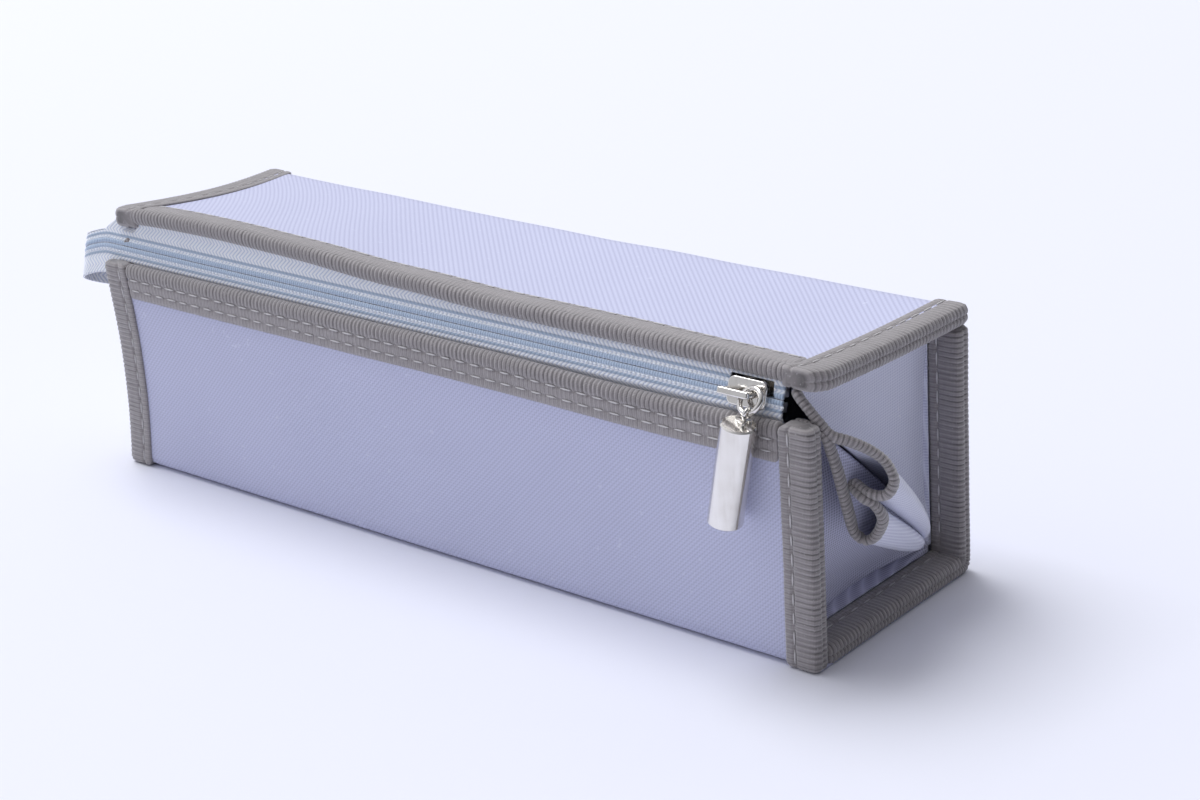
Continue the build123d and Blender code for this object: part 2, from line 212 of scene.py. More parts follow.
def clothShell(name, grid, thickness, uv):  # a thin closed sheet about a grid of points
    rows, columns = grid.shape[:2]
    half = unit(np.cross(np.gradient(grid, axis=0), np.gradient(grid, axis=1))) * thickness / 2
    points = np.concatenate([(grid + half).reshape(-1, 3), (grid - half).reshape(-1, 3)])
    count = rows * columns
    faces = gridFaces(rows, columns) + gridFaces(rows, columns, count, flip=True)
    edge = [(0, j) for j in range(columns)] + [(i, columns - 1) for i in range(1, rows)]
    edge += [(rows - 1, j) for j in range(columns - 2, -1, -1)] + [(i, 0) for i in range(rows - 2, 0, -1)]
    ring = [i * columns + j for i, j in edge]
    for a, b in zip(ring, ring[1:] + ring[:1]):
        faces.append((a, a + count, b + count, b))
    return newMesh(name, points, faces, np.tile(np.asarray(uv, float).reshape(-1, 2), (2, 1)), {})


def sweptTube(name, rings, along, ribs):  # closed section rings, capped at both ends
    count, size = rings.shape[:2]
    faces = gridFaces(count, size, wrap=True)
    faces.append(tuple(range(size))[::-1])
    faces.append(tuple((count - 1) * size + j for j in range(size)))
    alongGrid, across, ribGrid = np.broadcast_arrays(
        np.asarray(along, float)[:, None], arcLengths(rings[count // 2]), np.asarray(ribs, float))
    uv = np.stack([alongGrid, across], -1).reshape(-1, 2)
    return newMesh(name, rings.reshape(-1, 3), faces, uv, {"along": alongGrid, "ribs": ribGrid})


def smoothPath(points, count):  # a soft curve through a few places
    pts = np.asarray(points, float)
    pts = np.vstack([2 * pts[0] - pts[1], pts, 2 * pts[-1] - pts[-2]])
    fine = []
    for k in range(1, len(pts) - 2):
        p0, p1, p2, p3 = pts[k - 1:k + 3]
        for t in np.linspace(0, 1, 24, endpoint=False):
            fine.append(0.5 * ((2 * p1) + (p2 - p0) * t + (2 * p0 - 5 * p1 + 4 * p2 - p3) * t * t
                               + (3 * p1 - p0 - 3 * p2 + p3) * t ** 3))
    fine = np.array(fine + [pts[-2]])
    length = arcLengths(fine)
    return resample(fine, length, np.linspace(0, length[-1], count))


def roundedLine(corners, radius, step):  # a line with its corners rounded
    spots = np.array(corners, float)
    made = [spots[0]]
    for before, here, after in zip(spots, spots[1:], spots[2:]):
        start, end = here + unit(before - here) * radius, here + unit(after - here) * radius
        for t in np.linspace(0, 1, 6):
            made.append((1 - t) ** 2 * start + 2 * t * (1 - t) * here + t * t * end)
    made = np.array(made + [spots[-1]])
    length = arcLengths(made)
    return resample(made, length, np.linspace(0, length[-1], max(4, int(length[-1] / step))))


def alongLine(points, step=0.5):  # a line cut into even steps
    pts = np.asarray(points, float)
    length = arcLengths(pts)
    return resample(pts, length, np.linspace(0, length[-1], int(length[-1] / step) + 2))


# node trees

def newGroup(name, kind, inputs, outputs):  # sockets as name: (kind, value)
    tree = bpy.data.node_groups.new(name, kind + "NodeTree")
    for label, (sort, value) in inputs.items():
        socket = tree.interface.new_socket(name=label, in_out="INPUT", socket_type="NodeSocket" + sort)
        if value is not None:
            socket.default_value = value
    for label in outputs:
        sort = "Geometry" if kind == "Geometry" else "Float"
        tree.interface.new_socket(name=label, in_out="OUTPUT", socket_type="NodeSocket" + sort)
    return tree, tree.nodes.new("NodeGroupInput").outputs, tree.nodes.new("NodeGroupOutput").inputs


def feed(tree, socket, value):  # takes a value, a socket, or a node for its first output
    if isinstance(value, bpy.types.Node):
        value = value.outputs[0]
    if isinstance(value, bpy.types.NodeSocket):
        tree.links.new(value, socket)
    elif value is not None:
        socket.default_value = value


def addNode(tree, kind, values=None, **settings):
    node = tree.nodes.new(kind)
    for key, value in settings.items():
        setattr(node, key, value)
    for key, value in (values or {}).items():
        feed(tree, node.inputs[key], value)
    return node


def mathNode(tree, operation, first, second=None):
    return addNode(tree, "ShaderNodeMath", {0: first, 1: second}, operation=operation).outputs[0]


def times(tree, first, second):
    return mathNode(tree, "MULTIPLY", first, second)


def plus(tree, first, second):
    return mathNode(tree, "ADD", first, second)


def minus(tree, first, second):
    return mathNode(tree, "SUBTRACT", first, second)


def waveOf(tree, value, pitch):  # 0 between two threads, 1 on a crown
    phase = times(tree, mathNode(tree, "DIVIDE", value, pitch), math.pi)
    return mathNode(tree, "ABSOLUTE", mathNode(tree, "SINE", phase))


def endTree(tree, geometry, given, out):
    realize = addNode(tree, "GeometryNodeRealizeInstances", {0: geometry})
    feed(tree, out[0], addNode(tree, "GeometryNodeSetMaterial", {"Geometry": realize, "Material": given["Material"]}))
    return tree


def makeRibTree():  # raises woven ribs across a tape, from its "along" and "ribs" attributes
    tree, given, out = newGroup("grosgrainRibs", "Geometry", {
        "Geometry": ("Geometry", None), "Pitch": ("Float", 1.1), "Depth": ("Float", 0.00014),
        "Wander": ("Float", 0.35), "Seed": ("Float", 0.0), "Material": ("Material", None)}, ["Geometry"])
    along, ribs = (addNode(tree, "GeometryNodeInputNamedAttribute", {"Name": name}) for name in ("along", "ribs"))
    noise = addNode(tree, "ShaderNodeTexNoise", {"Scale": 130.0, "Detail": 1.0, "W": given["Seed"]},
                    noise_dimensions="4D")
    drift = times(tree, minus(tree, noise, 0.5), given["Wander"])
    wave = waveOf(tree, plus(tree, along, drift), given["Pitch"])
    cord = minus(tree, mathNode(tree, "POWER", wave, 0.6), 0.6)
    height = times(tree, times(tree, cord, ribs), given["Depth"])
    push = addNode(tree, "ShaderNodeVectorMath", {0: addNode(tree, "GeometryNodeInputNormal"), "Scale": height},
                   operation="SCALE")
    move = addNode(tree, "GeometryNodeSetPosition", {"Geometry": given["Geometry"], "Offset": push})
    # the mask of the rib valleys, kept as the cord attribute for the painted shade in the tape's colour
    valleyShade = times(tree, minus(tree, 1.0, wave), ribs)
    keep = addNode(tree, "GeometryNodeStoreNamedAttribute", {"Geometry": move, "Name": "cord", "Value": valleyShade})
    return endTree(tree, keep, given, out)


def layCopies(tree, given, out, copy, size, axis):  # copies along lines, turned to follow them
    line = addNode(tree, "GeometryNodeMeshToCurve", {0: given["Geometry"]})
    spaced = addNode(tree, "GeometryNodeResampleCurve", {"Curve": line, "Length": given["Pitch"]}, mode="LENGTH")
    turn = addNode(tree, "FunctionNodeAlignRotationToVector",
                   {"Vector": addNode(tree, "GeometryNodeInputTangent")}, axis=axis)
    return endTree(tree, addNode(tree, "GeometryNodeInstanceOnPoints", {
        "Points": spaced, "Instance": copy, "Rotation": turn, "Scale": size}), given, out)


def makeStitchTree():  # lays stitches end to end along lines, each a little different
    tree, given, out = newGroup("threadStitches", "Geometry", {
        "Geometry": ("Geometry", None), "Pitch": ("Float", 0.004), "Length": ("Float", 0.0028),
        "Thread": ("Float", 0.00036), "Uneven": ("Float", 0.12), "Seed": ("Int", 1),
        "Material": ("Material", None)}, ["Geometry"])
    bead = addNode(tree, "GeometryNodeMeshUVSphere", {"Segments": 8, "Rings": 6, "Radius": 0.5})
    chance = addNode(tree, "FunctionNodeRandomValue", {
        2: minus(tree, 1.0, given["Uneven"]), 3: plus(tree, 1.0, given["Uneven"]), "Seed": given["Seed"]},
        data_type="FLOAT")
    size = addNode(tree, "ShaderNodeCombineXYZ", {
        0: times(tree, given["Length"], chance.outputs[1]), 1: given["Thread"], 2: given["Thread"]})
    return layCopies(tree, given, out, addNode(tree, "GeometryNodeSetShadeSmooth", {0: bead}), size, "X")


def makeCoilTree():  # one nylon loop after another along a line
    tree, given, out = newGroup("coilLoops", "Geometry", {
        "Geometry": ("Geometry", None), "Pitch": ("Float", 0.00127), "Loop": ("Float", 0.0009),
        "Wire": ("Float", 0.00026), "Flat": ("Float", 0.62), "Material": ("Material", None)}, ["Geometry"])
    ring, strand = (addNode(tree, "GeometryNodeCurvePrimitiveCircle", {"Resolution": count, "Radius": given[radius]})
                    for count, radius in ((10, "Loop"), (6, "Wire")))
    size = addNode(tree, "ShaderNodeCombineXYZ", {0: 1.0, 1: given["Flat"], 2: 1.0})
    return layCopies(tree, given, out, addNode(tree, "GeometryNodeCurveToMesh", {0: ring, 1: strand}), size, "Z")


ribTree, stitchTree, coilTree = makeRibTree(), makeStitchTree(), makeCoilTree()


def runTree(piece, tree, **wanted):  # applies a tree to a piece and leaves a plain mesh
    modifier = piece.modifiers.new(tree.name, "NODES")
    modifier.node_group = tree
    known = {s.name: s.identifier for s in tree.interface.items_tree if s.in_out == "INPUT"}
    for label, value in wanted.items():
        modifier[known[label]] = value
    piece.update_tag()
    bpy.context.view_layer.update()
    graph = bpy.context.evaluated_depsgraph_get()
    mesh = bpy.data.meshes.new_from_object(piece.evaluated_get(graph), preserve_all_data_layers=True,
                                           depsgraph=graph)
    piece.modifiers.remove(modifier)
    piece.data = mesh


def lines(name, paths):  # a piece of bare lines, for a tree to work along
    points, edges = [], []
    for path in paths:
        start = len(points)
        points += (np.asarray(path, float) * mm).tolist()
        edges += [(k, k + 1) for k in range(start, len(points) - 1)]
    mesh = bpy.data.meshes.new(name)
    mesh.from_pydata(points, edges, [])
    return addObject(name, mesh)


print("trees ready")


# shader groups and materials

def makeMeshGroup():  # an open plain weave
    group, given, out = newGroup("openWeave", "Shader", {
        "Vector": ("Vector", None), "Pitch": ("Float", 0.8)}, ["Height", "Hole"])
    parts = addNode(group, "ShaderNodeSeparateXYZ", {0: given["Vector"]}).outputs
    hole = times(group, waveOf(group, parts[0], given["Pitch"]), waveOf(group, parts[1], given["Pitch"]))
    feed(group, out["Hole"], hole)
    feed(group, out["Height"], minus(group, 1.0, hole))
    return group


def makeRibGroup():  # fine ribs that run at an angle
    group, given, out = newGroup("slantRibs", "Shader", {
        "Vector": ("Vector", None), "Pitch": ("Float", 1.05), "AlongU": ("Float", 0.7071),
        "AlongV": ("Float", 0.7071)}, ["Height"])
    parts = addNode(group, "ShaderNodeSeparateXYZ", {0: given["Vector"]}).outputs
    slant = plus(group, times(group, parts[0], given["AlongU"]), times(group, parts[1], given["AlongV"]))
    feed(group, out["Height"], waveOf(group, slant, given["Pitch"]))
    return group


def makeWearGroup():  # cloudy fading and dust
    group, given, out = newGroup("clothFade", "Shader", {
        "Vector": ("Vector", None), "Scale": ("Float", 30.0)}, ["Cloud", "Speck"])
    for label, detail, scale in (("Cloud", 4.0, given["Scale"]), ("Speck", 2.0, times(group, given["Scale"], 22.0))):
        feed(group, out[label], addNode(group, "ShaderNodeTexNoise", {
            "Detail": detail, "Vector": given["Vector"], "Scale": scale}))
    return group


meshGroup, ribGroup, wearGroup = makeMeshGroup(), makeRibGroup(), makeWearGroup()


def newMaterial(name, roughness, metallic=0.0, sheen=0.0):
    material = bpy.data.materials.new(name)
    material.use_nodes = True
    tree = material.node_tree
    surface = tree.nodes["Principled BSDF"].inputs
    for label, value in (("Roughness", roughness), ("Metallic", metallic), ("Sheen Weight", sheen),
                         ("Sheen Roughness", 0.45)):
        surface[label].default_value = value
    return material, tree, surface


def place(tree, group, vector, **values):
    return addNode(tree, "ShaderNodeGroup", {"Vector": vector, **values}, node_tree=group).outputs


def wear(tree, scale):
    return place(tree, wearGroup, tree.nodes.new("ShaderNodeTexCoord").outputs["Object"], Scale=scale)


def clothMap(tree):
    return addNode(tree, "ShaderNodeUVMap", uv_map="cloth")


def mixColour(tree, share, first, second):
    first, second = ((*colour, 1.0) if isinstance(colour, tuple) else colour for colour in (first, second))
    return addNode(tree, "ShaderNodeMix", {0: share, 6: first, 7: second}, data_type="RGBA").outputs[2]


def scaled(tree, value, low, high):
    return plus(tree, times(tree, value, high - low), low)


def above(tree, value, level, strength):
    return times(tree, mathNode(tree, "GREATER_THAN", value, level), strength)


def coat(tree, surface, colour, roughness, height, strength, distance):
    bump = addNode(tree, "ShaderNodeBump", {"Strength": strength, "Distance": distance, "Height": height})
    for label, value in (("Base Color", colour), ("Roughness", roughness), ("Normal", bump)):
        feed(tree, surface[label], value)


def clothMaterial(name, pale, deep, meshPitch, ribPitch, ribSlope, ribShare, roughness, seeThrough=0.0):
    material, tree, surface = newMaterial(name, roughness, sheen=0.25)
    uv = clothMap(tree)
    mesh = place(tree, meshGroup, uv, Pitch=meshPitch)
    fade = wear(tree, 26.0)
    height = mesh["Height"]
    if ribShare:
        ribs = place(tree, ribGroup, uv, Pitch=ribPitch, AlongU=0.7071, AlongV=0.7071 * ribSlope)
        height = plus(tree, times(tree, ribs[0], ribShare), times(tree, height, 1 - ribShare))
    colour = mixColour(tree, height, deep, pale)
    colour = mixColour(tree, times(tree, fade["Cloud"], 0.22), colour, tuple(0.72 * c for c in deep))
    colour = mixColour(tree, above(tree, fade["Speck"], 0.72, 0.25), colour, tuple(min(1.0, 1.25 * c) for c in pale))
    if seeThrough:
        feed(tree, surface["Alpha"], minus(tree, 1.0, times(tree, mesh["Hole"], seeThrough)))
    coat(tree, surface, colour, scaled(tree, fade["Cloud"], roughness - 0.08, roughness + 0.1), height, 0.4, 0.00011)
    return material


def grosgrainMaterial():
    look = {"pale": (0.50, 0.46, 0.465), "deep": (0.24, 0.22, 0.22), "valleyShade": (0.045, 0.04, 0.042),
            "fibre": 0.3, "weft": 0.55, "lint": (0.55, 0.53, 0.53)}
    material, tree, surface = newMaterial("grosgrainTape", 0.62, sheen=0.6)
    parts = addNode(tree, "ShaderNodeSeparateXYZ", {0: clothMap(tree)}).outputs
    threads = times(tree, waveOf(tree, parts[0], look["weft"]), waveOf(tree, parts[1], look["fibre"]))
    fade = wear(tree, 90.0)
    height = plus(tree, times(tree, threads, 0.7), times(tree, wear(tree, 700.0)["Cloud"], 0.5))
    colour = mixColour(tree, height, look["deep"], look["pale"])
    cord = addNode(tree, "ShaderNodeAttribute", attribute_name="cord").outputs["Fac"]
    # painted shade: the valleys between the ribs are darkened almost to black
    colour = mixColour(tree, times(tree, mathNode(tree, "POWER", cord, 1.4), 0.95), colour, look["valleyShade"])
    colour = mixColour(tree, times(tree, fade["Cloud"], 0.3), colour, look["deep"])
    colour = mixColour(tree, above(tree, fade["Speck"], 0.68, 0.35), colour, look["lint"])
    coat(tree, surface, colour, scaled(tree, fade["Cloud"], 0.5, 0.75), height, 0.6, 0.00014)
    return material


def nearLine(tree, value, middle, half):  # 1 on a line, falling softly to 0 beside it
    off = mathNode(tree, "ABSOLUTE", minus(tree, value, middle))
    soft = minus(tree, 1.5, mathNode(tree, "DIVIDE", off, half))
    return mathNode(tree, "MINIMUM", mathNode(tree, "MAXIMUM", soft, 0.0), 1.0)


def zipTapeMaterial():  # the tape's stripes go by the distance from the middle of the chain
    look = {"tape": (0.54, 0.60, 0.77), "twill": (0.97, 0.98, 1.0), "band": (0.22, 0.32, 0.46),
            "bandPale": (0.50, 0.61, 0.77), "slitShade": (0.03, 0.05, 0.09), "bandAt": 0.62, "bandHalf": 0.42,
            "lineAt": 2.2, "lineHalf": 0.24, "slitShadeHalf": 0.14, "ribPitch": 0.64, "twillPitch": 1.1, "chevron": 1.7}
    material, tree, surface = newMaterial("zipperTwill", 0.55, sheen=0.2)
    parts = addNode(tree, "ShaderNodeSeparateXYZ", {0: clothMap(tree)}).outputs
    across = mathNode(tree, "ABSOLUTE", parts[1])
    zigzag = mathNode(tree, "PINGPONG", parts[1], look["chevron"])
    twill = waveOf(tree, plus(tree, parts[0], zigzag), look["twillPitch"])
    colour = mixColour(tree, mathNode(tree, "POWER", twill, 0.8), look["tape"], look["twill"])
    band = mixColour(tree, waveOf(tree, parts[0], look["ribPitch"]), look["band"], look["bandPale"])
    inBand = nearLine(tree, across, look["bandAt"], look["bandHalf"])
    inLine = nearLine(tree, across, look["lineAt"], look["lineHalf"])
    colour = mixColour(tree, times(tree, inBand, 0.9), colour, band)
    colour = mixColour(tree, times(tree, inLine, 0.75), colour, look["band"])
    # painted shade: a near-black line in the gap between the two halves of the chain
    colour = mixColour(tree, nearLine(tree, across, 0.0, look["slitShadeHalf"]), colour, look["slitShade"])
    colour = mixColour(tree, times(tree, wear(tree, 60.0)["Cloud"], 0.15), colour, look["band"])
    coat(tree, surface, colour, scaled(tree, twill, 0.5, 0.7), twill, 0.6, 0.00014)
    return material


def threadMaterial(name, pale, deep):
    material, tree, surface = newMaterial(name, 0.5, sheen=0.3)
    fade = wear(tree, 900.0)
    coat(tree, surface, mixColour(tree, fade["Cloud"], pale, deep), scaled(tree, fade["Speck"], 0.4, 0.7),
         fade["Speck"], 0.3, 0.00006)
    return material


def metalMaterial(name, pale, deep, roughness, streak):
    material, tree, surface = newMaterial(name, roughness, metallic=1.0)
    where = tree.nodes.new("ShaderNodeTexCoord").outputs["Object"]
    streakMap = addNode(tree, "ShaderNodeMapping", {"Scale": (1.0, 1.0, 0.02), "Vector": where})  # drawing lines, which also carry the painted streaks of reflection
    line = place(tree, wearGroup, streakMap, Scale=streak)["Cloud"]
    # painted reflection: the streaks darken the metal's colour towards a warm brown, while their bump gives the real
    # drawing lines
    colour = mixColour(tree, times(tree, wear(tree, 240.0)["Cloud"], line), pale, deep)
    coat(tree, surface, colour, scaled(tree, line, roughness * 0.5, roughness * 1.7), line, 0.12, 0.00004)
    return material


def boardMaterial():
    material, tree, surface = newMaterial("boardPlastic", 0.5)
    fade = wear(tree, 120.0)
    colour = mixColour(tree, fade["Cloud"], (0.86, 0.86, 0.84), (0.74, 0.74, 0.72))
    coat(tree, surface, colour, scaled(tree, fade["Cloud"], 0.4, 0.6), fade["Speck"], 0.2, 0.00005)
    return material


paint = {
    "front": clothMaterial("panelCloth", (0.67, 0.69, 0.90), (0.44, 0.45, 0.62), 0.62, 0.8, 1, 0.5, 0.55),
    "lid": clothMaterial("ribbedCloth", (0.65, 0.67, 0.88), (0.48, 0.49, 0.69), 0.8, 1.05, -1, 0.8, 0.5),
    # painted light: both net colours are raised above the cloth's own to stand in for light passing through the thin
    # net, and the upper net's copy is brighter still
    "gusset": clothMaterial("netCloth", (0.80, 0.81, 0.98), (0.56, 0.56, 0.74), 0.62, 1.05, 1, 0.0, 0.6, 0.25),
    "paintedBacklitNet": clothMaterial("paintedBacklitNet", (0.86, 0.88, 1.0), (0.66, 0.67, 0.86), 0.62, 1.05, 1, 0.0, 0.6,
                                  0.1),
    "lining": clothMaterial("liningCloth", (0.64, 0.65, 0.76), (0.52, 0.53, 0.66), 0.5, 1.0, 1, 0.0, 0.65),
    "tape": grosgrainMaterial(),
    "zip": zipTapeMaterial(),
    "thread": threadMaterial("greyThread", (0.74, 0.72, 0.72), (0.56, 0.55, 0.55)),
    "dots": threadMaterial("paleThread", (0.97, 0.99, 1.0), (0.82, 0.88, 0.97)),
    "coil": threadMaterial("coilNylon", (0.42, 0.52, 0.66), (0.32, 0.42, 0.58)),
    "chrome": metalMaterial("polishedNickel", (0.90, 0.88, 0.85), (0.50, 0.46, 0.40), 0.12, 900.0),
    "alloy": metalMaterial("dullAlloy", (0.78, 0.79, 0.80), (0.66, 0.67, 0.68), 0.28, 400.0),
    "board": boardMaterial(),
}
print("materials ready")


def finishPiece(piece, material, where, nodes=()):
    if material is not None:
        piece.data.materials.clear()
        piece.data.materials.append(material)
    if isinstance(where, str):
        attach(piece, where)
    else:
        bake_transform(piece)
    if nodes:
        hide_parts(*nodes)


# covers, linings and boards

panels = {"cloth": 0.5, "board": 1.2, "coverStep": 1.5, "innerStep": 3.0, "hingeStep": 0.7, "skin": 0.85,
          "floorGap": 0.3, "top": 48.9, "foldY": 23.6, "foldZ": 4.6, "liningFoldY": 21.8, "liningFoldZ": 6.6,
          "lidStart": 1.8, "lidEnd": 49.0, "coverBack": 0.6, "liningBack": 0.5, "boardBack": 2.5}
outerY, outerZ = body["frontY"] + panels["skin"], panels["floorGap"]
backAt = body["backY"] - panels["skin"]
innerY, innerZ, innerBack = outerY + 2 * panels["skin"], 1.95, backAt - 2 * panels["skin"]
boardFront, boardBack, boardZ = outerY + panels["skin"], backAt - panels["skin"], 1.1
hingeBend = (Vector((0, 23.0, 1.5)) * mm, Vector((0, 26.3, 4.7)) * mm)


def lidLine(places):  # places on the lid as inward, up
    return [tuple(lidPoint(0.0, inward, up)[1:]) for inward, up in places]


def panel(name, section, thickness, halfX, step, sag):
    across = np.linspace(-halfX, halfX, int(2 * halfX / step) + 1)
    grid = np.zeros((len(across), len(section), 3))
    grid[..., 0] = across[:, None]
    grid[..., 1:] = section
    uv = np.stack(np.meshgrid(across, arcLengths(section), indexing="ij"), -1)
    return clothShell(name, sag(grid), thickness, uv)


lidBackZ = lidLine([(panels["lidEnd"], -panels["skin"])])[0][1]
coverX, liningX, boardX = body["endX"] - panels["coverBack"], body["seamX"] - panels["liningBack"], \
    body["seamX"] - panels["boardBack"]
panelSpecs = [  # name, body or bend, nodes, half length, corner radius, outline
    ("lowerCover", "lower_half", "front_cover bottom_cover", coverX, 2.2,
     [(outerY, panels["top"]), (outerY, outerZ), (panels["foldY"], outerZ)]),
    ("hingeCover", hingeBend, "hinge_cover", body["seamX"] + 2, 2.0,
     [(panels["foldY"], outerZ), (backAt, outerZ), (backAt, panels["foldZ"])]),
    ("upperCover", "upper_half", "back_cover lid_cover", body["endX"] - 3, 2.0,
     [(backAt, panels["foldZ"]), (backAt, lidBackZ + 0.35), *lidLine([(panels["lidStart"], -panels["skin"])])]),
    ("lowerLining", "lower_half", "front_lining bottom_lining", liningX, 0.8,
     [(innerY, panels["top"]), (innerY, innerZ), (panels["liningFoldY"], innerZ)]),
    ("hingeLining", hingeBend, "hinge_lining", liningX, 0.8,
     [(panels["liningFoldY"], innerZ), (innerBack, innerZ), (innerBack, panels["liningFoldZ"])]),
    ("upperLining", "upper_half", "back_lining lid_lining", liningX, 0.8,
     [(innerBack, panels["liningFoldZ"]), (innerBack, lidBackZ - 1.4), *lidLine([(panels["lidStart"], -2.55)])]),
    ("frontBoard", "lower_half", "front_board", boardX, 0.5, [(boardFront, panels["top"]), (boardFront, 3.5)]),
    ("bottomBoard", "lower_half", "bottom_board", boardX, 0.5, [(-23.65, boardZ), (23.65, boardZ)]),
    ("backBoard", "upper_half", "back_board", boardX, 0.5, [(boardBack, 3.5), (boardBack, 54.3)]),
    ("lidBoard", "upper_half", "lid_board", boardX, 0.5, lidLine([(47.7, -1.7), (panels["lidStart"], -1.7)]))]
for name, where, nodes, halfX, radius, outline in panelSpecs:
    kind = next(kind for kind in ("Cover", "Lining", "Board") if name.endswith(kind))
    look = {"Cover": "front" if name == "lowerCover" else "lid", "Lining": "lining", "Board": "board"}[kind]
    step = panels["coverStep" if kind == "Cover" else "innerStep"]
    section = roundedLine(outline, radius, panels["hingeStep"] if where is hingeBend else step)
    piece = panel(name, section, panels["board" if kind == "Board" else "cloth"], halfX, step,
                  sagLower if where == "lower_half" else sagUpper)
    finishPiece(piece, paint[look], where, nodes.split())
print("panels ready")


# bindings of the two rims

rims = {"ringStep": 0.25, "ribDepth": 0.00024, "ribPitch": 1.12, "endRound": 0.9, "reach": body["seamX"] - 0.1}
frontRimShape = [
    (0.15, -7.9, 0.3), (0.0, -7.2, 0.4), (0.03, -6.2, 0.4), (0.26, -5.8, 0.3), (0.03, -5.4, 0.4), (0.0, -4.3, 0.4),
    (0.06, -3.7, 0.5), (0.42, -3.3, 0.3), (0.1, -2.9, 0.7), (0.0, -2.2, 1), (0.1, -1.2, 1), (0.6, -0.35, 1),
    (1.5, 0.0, 1), (2.4, -0.3, 1), (3.1, -1.1, 1), (3.4, -2.2, 0.8), (3.3, -3.6, 0.4), (3.3, -7.9, 0.2)]
lidRimShape = [
    (8.1, -0.8, 0.1), (8.1, -0.32, 0.3), (7.4, -0.12, 0.4), (7.0, -0.34, 0.3), (6.6, -0.1, 0.4), (4.3, -0.08, 0.4),
    (3.4, -0.3, 0.5), (3.0, -0.55, 0.4), (2.6, -0.22, 0.9), (1.9, 0.0, 1), (0.9, -0.1, 1), (0.25, -0.7, 1),
    (0.0, -1.7, 1), (0.25, -2.8, 1), (0.9, -3.5, 1), (1.9, -3.6, 0.8), (3.2, -3.4, 0.4), (8.1, -3.3, 0.2)]


def evenShape(shape, step=0.36):  # a closed section made even, with its rib strength
    closed = np.array(shape + shape[:1], float)
    length = arcLengths(closed[:, :2])
    return resample(closed, length, np.linspace(0, length[-1], int(length[-1] / step), endpoint=False))


def roundedEnds(section, middle, fromStart, fromEnd, reach, least=0.55):
    near = min(fromStart, fromEnd) / reach
    if near >= 1:
        return section
    scale = least + (1 - least) * math.sqrt(1 - (1 - near) ** 2)
    return middle + (section - middle) * scale


def rimPiece(name, shape, toSpace, sag, where, node):
    even = evenShape(shape)
    middle = even[:, :2].mean(0)
    length = 2 * rims["reach"]
    places = np.linspace(0, length, int(length / rims["ringStep"]))
    rings = []
    for at in places:
        section = roundedEnds(even[:, :2], middle, at, length - at, rims["endRound"])
        rings.append(toSpace(at - rims["reach"], section))
    piece = sweptTube(name, sag(np.array(rings)), places, even[:, 2])
    runTree(piece, ribTree, Pitch=rims["ribPitch"], Depth=rims["ribDepth"], Seed=2.0, Material=paint["tape"])
    finishPiece(piece, None, where, (node,))


def frontSpace(x, section):
    return np.stack([np.full(len(section), x), body["frontY"] + section[:, 0], body["frontTop"] + section[:, 1]], -1)


def lidSpace(x, section):
    return lidPoint(x, section[:, 0], section[:, 1])


rimPiece("frontRim", frontRimShape, frontSpace, sagLower, "lower_half", "front_rim_binding")
rimPiece("lidRim", lidRimShape, lidSpace, sagUpper, "upper_half", "lid_rim_binding")
print("rims ready")


# bindings of the end seams

seams = {"ringStep": 0.27, "ribDepth": 0.00026, "ribPitch": 1.15, "groove": 2.2, "hingeRound": 2.4,
         "endRound": 1.5, "lidTuck": 1.8, "wide": body["endX"] - body["seamX"]}
seamShape = [
    (0.0, 0.25, 0.4), (0.35, 0.02, 0.5), (1.7, 0.0, 0.6), (2.05, 0.36, 0.3), (2.35, 0.36, 0.3), (2.7, 0.0, 0.6),
    (5.6, 0.0, 0.8), (6.9, 0.25, 1), (7.4, 1.0, 1), (7.5, 1.5, 1), (7.42, 1.95, 1), (7.12, 2.2, 0.7),
    (7.42, 2.45, 1), (7.5, 2.9, 1), (7.4, 3.4, 1), (6.9, 4.15, 1), (5.6, 4.4, 0.8), (2.7, 4.4, 0.6),
    (2.35, 4.04, 0.3), (2.05, 4.04, 0.3), (1.7, 4.4, 0.6), (0.35, 4.38, 0.5), (0.0, 4.15, 0.4)]
seamEven = evenShape(seamShape)
seamMiddle = np.array([seams["wide"] / 2, thick / 2])
seamStitches = {"lower_half": [], "upper_half": []}


def seamPiece(name, side, outer, inner, sag, where, nodes, tuck=0.0):  # tuck draws in the first end
    along = arcLengths(outer)
    long = along[-1]
    places = np.linspace(0, long, int(long / seams["ringStep"]))
    outerLine, innerLine = (resample(line, along, places) for line in (outer, inner))
    moved = body["seamX"] - tuck * ease(1 - places / 4.5)
    rings = []
    for at, start, end, x in zip(places, outerLine, innerLine, moved):
        section = roundedEnds(seamEven[:, :2], seamMiddle, at, long - at, seams["endRound"])
        yz = start + section[:, 1:] / thick * (end - start)
        rings.append(np.stack([side * (x + section[:, 0]), yz[:, 0], yz[:, 1]], -1))
    piece = sweptTube(name, sag(np.array(rings)), places, seamEven[:, 2])
    runTree(piece, ribTree, Pitch=seams["ribPitch"], Depth=seams["ribDepth"], Seed=5.0 + side,
            Material=paint["tape"])
    finishPiece(piece, None, where, nodes)
    keep = (places > 2.5) & (places < long - 2.5)
    for face in (0.1 / thick, 1 - 0.1 / thick):
        yz = outerLine + face * (innerLine - outerLine)
        row = sag(np.stack([side * (moved + seams["groove"]), yz[:, 0], yz[:, 1]], -1))
        if isinstance(where, str):
            seamStitches[where].append(row[keep])
        else:
            seamStitches["lower_half"].append(row[keep & (yz[:, 0] < 19)])
            seamStitches["upper_half"].append(row[keep & (yz[:, 1] > 10)])


